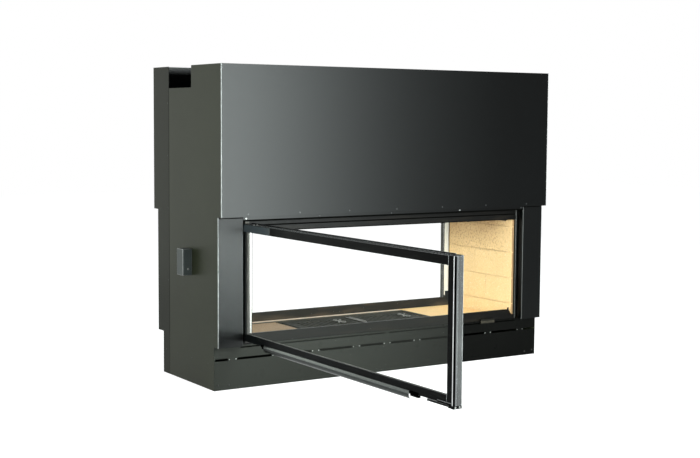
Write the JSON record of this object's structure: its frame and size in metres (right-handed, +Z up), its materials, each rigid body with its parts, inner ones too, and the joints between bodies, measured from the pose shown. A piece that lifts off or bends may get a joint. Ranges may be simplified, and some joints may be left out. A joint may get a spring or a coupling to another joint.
{
  "type": "double-sided fireplace",
  "caption": "See-through fireplace insert: hooded steel case, brick-lined chamber, a swinging and a lifting glazed door on opposite sides, air levers, iron grates and a flue collar.",
  "frame": {"origin": "on the floor, under the middle of the base plate between the two hood fronts and the two end walls", "axes": "+X along the width to the right seen from the front, -Y out of the front, +Z up"},
  "size_m": [1.8653, 2.176, 1.42],
  "materials": {
    "hood_paint": "satin anthracite",
    "side_paint": "matte dark olive grey",
    "frame_paint": "matte black",
    "door_paint": "satin blue black",
    "galvanised_steel": "zinc coated",
    "brushed_steel": "fine brushed",
    "cast_iron": "cast, unpainted",
    "firebrick": "matte refractory, warm yellow",
    "bronzed_brass": "dark bronzed",
    "clear_glass": "clear polished"
  },
  "bodies": {
    "case": {"hood_front": "hood_paint", "hood_rear": "hood_paint", "hood_back_front": "hood_paint", "hood_back_rear": "hood_paint", "jamb_front_left": "hood_paint", "jamb_front_right": "hood_paint", "jamb_rear_left": "hood_paint", "jamb_rear_right": "hood_paint", "base_plate": "side_paint", "base_front": "side_paint", "base_rear": "side_paint", "side_sheet_left_front": "side_paint", "side_sheet_left_rear": "side_paint", "side_sheet_right_front": "side_paint", "side_sheet_right_rear": "side_paint", "top_plate": "side_paint", "firebox_floor": "side_paint", "side_box": "side_paint", "sill_front": "frame_paint", "sill_rear": "frame_paint", "lintel_front": "frame_paint", "lintel_rear": "frame_paint", "guide_rail_front_left": "galvanised_steel", "guide_rail_front_right": "galvanised_steel", "guide_rail_rear_left": "galvanised_steel", "guide_rail_rear_right": "galvanised_steel", "lift_cable_left": "galvanised_steel", "lift_cable_right": "galvanised_steel", "smoke_dome": "galvanised_steel", "flue_collar": "galvanised_steel", "door_hinge_bar": "galvanised_steel", "hearth_plate": "cast_iron", "lining_left": "firebrick", "lining_right": "firebrick", "hearth_tile_left": "firebrick", "hearth_tile_right": "firebrick", "hearth_strip_front": "firebrick", "hearth_strip_rear": "firebrick"},
    "front_door": {"front_door_rail_top": "door_paint", "front_door_rail_bottom": "door_paint", "front_door_stile_hinge": "door_paint", "front_door_stile_latch": "door_paint", "front_door_end_post": "brushed_steel", "front_door_glass": "clear_glass", "front_door_handle": "brushed_steel"},
    "rear_door": {"rear_door_rail_top": "door_paint", "rear_door_rail_bottom": "door_paint", "rear_door_stile_left": "door_paint", "rear_door_stile_right": "door_paint", "rear_door_glass": "clear_glass", "rear_door_handle": "brushed_steel"},
    "front_latch": {"front_latch_lever": "door_paint"},
    "lift_weight_left": {"lift_weight_left": "cast_iron"},
    "lift_weight_right": {"lift_weight_right": "cast_iron"},
    "lift_pulley_left": {"lift_pulley_left": "brushed_steel"},
    "lift_pulley_right": {"lift_pulley_right": "brushed_steel"},
    "air_lever_front": {"air_lever_front": "bronzed_brass"},
    "air_lever_rear": {"air_lever_rear": "bronzed_brass"},
    "grate_left": {"grate_left": "cast_iron"},
    "grate_right": {"grate_right": "cast_iron"}
  },
  "joints": [
    {"name": "front_door_swing", "type": "hinge", "parent": "case", "child": "front_door", "pos_m": [-0.762, -0.296, 0.47], "axis": [0, 0, -1], "range_deg": [-90, 12]},
    {"name": "front_latch_turn", "type": "hinge", "parent": "front_door", "child": "front_latch", "pos_m": [-0.762, -1.796, 0.207], "axis": [0, 0, 1], "range_deg": [0, 45]},
    {"name": "rear_door_lift", "type": "slide", "parent": "case", "child": "rear_door", "axis": [0, 0, 1], "range_m": [0, 0.45], "deforming": ["lift_cable_left", "lift_cable_right"]},
    {"name": "lift_weight_left_slide", "type": "slide", "parent": "case", "child": "lift_weight_left", "axis": [0, 0, 1], "range_m": [-0.45, 0]},
    {"name": "lift_weight_right_slide", "type": "slide", "parent": "case", "child": "lift_weight_right", "axis": [0, 0, 1], "range_m": [-0.45, 0]},
    {"name": "lift_pulley_left_turn", "type": "hinge", "parent": "case", "child": "lift_pulley_left", "pos_m": [-0.824, 0.25, 1.362], "axis": [0, 1, 0], "range_deg": [-870, 0]},
    {"name": "lift_pulley_right_turn", "type": "hinge", "parent": "case", "child": "lift_pulley_right", "pos_m": [0.824, 0.25, 1.362], "axis": [0, 1, 0], "range_deg": [0, 870]},
    {"name": "air_lever_front_slide", "type": "slide", "parent": "case", "child": "air_lever_front", "axis": [1, 0, 0], "range_m": [-0.3, 0.1]},
    {"name": "air_lever_rear_slide", "type": "slide", "parent": "case", "child": "air_lever_rear", "axis": [-1, 0, 0], "range_m": [-0.3, 0.1]},
    {"name": "grate_left_lift", "type": "slide", "parent": "case", "child": "grate_left", "axis": [0, 0, 1], "range_m": [0, 0.1]},
    {"name": "grate_right_lift", "type": "slide", "parent": "case", "child": "grate_right", "axis": [0, 0, 1], "range_m": [0, 0.1]}
  ],
  "couplings": [
    {"joint": "lift_weight_left_slide", "follows": "rear_door_lift", "ratio": -1},
    {"joint": "lift_weight_right_slide", "follows": "rear_door_lift", "ratio": -1},
    {"joint": "lift_pulley_left_turn", "follows": "rear_door_lift", "rad_per_m": -33.333},
    {"joint": "lift_pulley_right_turn", "follows": "rear_door_lift", "rad_per_m": 33.333}
  ]
}
